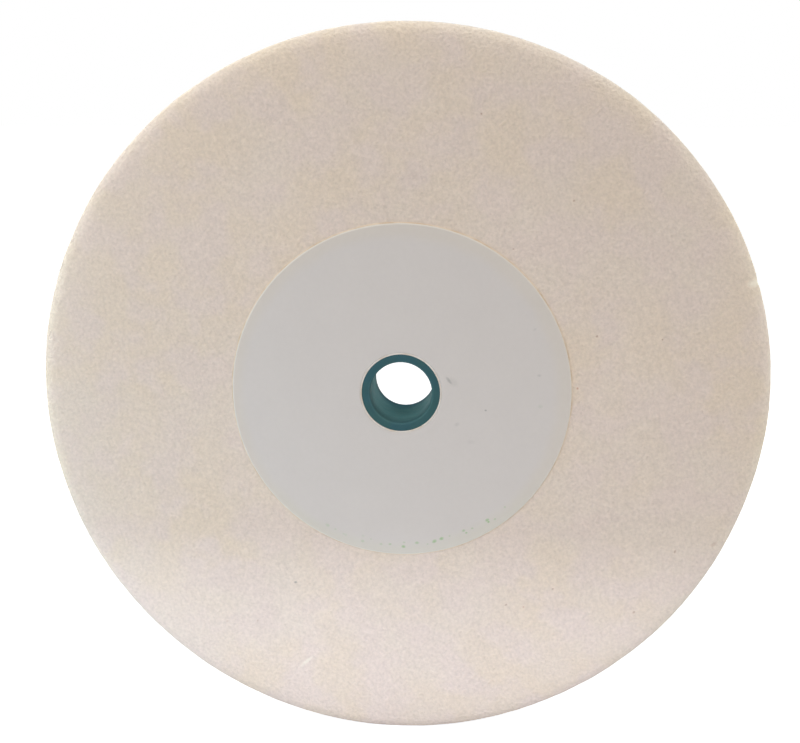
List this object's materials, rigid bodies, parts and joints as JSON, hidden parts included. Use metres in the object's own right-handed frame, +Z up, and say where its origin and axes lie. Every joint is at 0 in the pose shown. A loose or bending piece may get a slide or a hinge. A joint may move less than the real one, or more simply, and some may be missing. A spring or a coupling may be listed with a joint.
{
  "type": "felt polishing wheel",
  "caption": "Flat round felt polishing wheel with a grey paper disc glued to each face and a teal plastic bush lining its bore.",
  "frame": {"origin": "centre of the bore, halfway through the felt's thickness", "axes": "+Y along the wheel's axis from the front face to the rear face, +Z up with the wheel upright on its spindle"},
  "size_m": [0.15, 0.0168, 0.15],
  "materials": {
    "felt": "matt pressed wool felt, warm off-white, with a fine suede-like grain",
    "paper": "smooth light grey coated paper, warmer and slightly see-through at its edge",
    "glue": "dried clear-amber glue, satin",
    "bush_plastic": "dark teal moulded plastic, satin"
  },
  "bodies": {
    "root": {"felt_wheel": "felt", "bore_bush": "bush_plastic", "bush_glue_sleeve": "glue", "front_glue_film": "glue", "front_paper_disc": "paper", "rear_glue_film": "glue", "rear_paper_disc": "paper"}
  },
  "joints": []
}
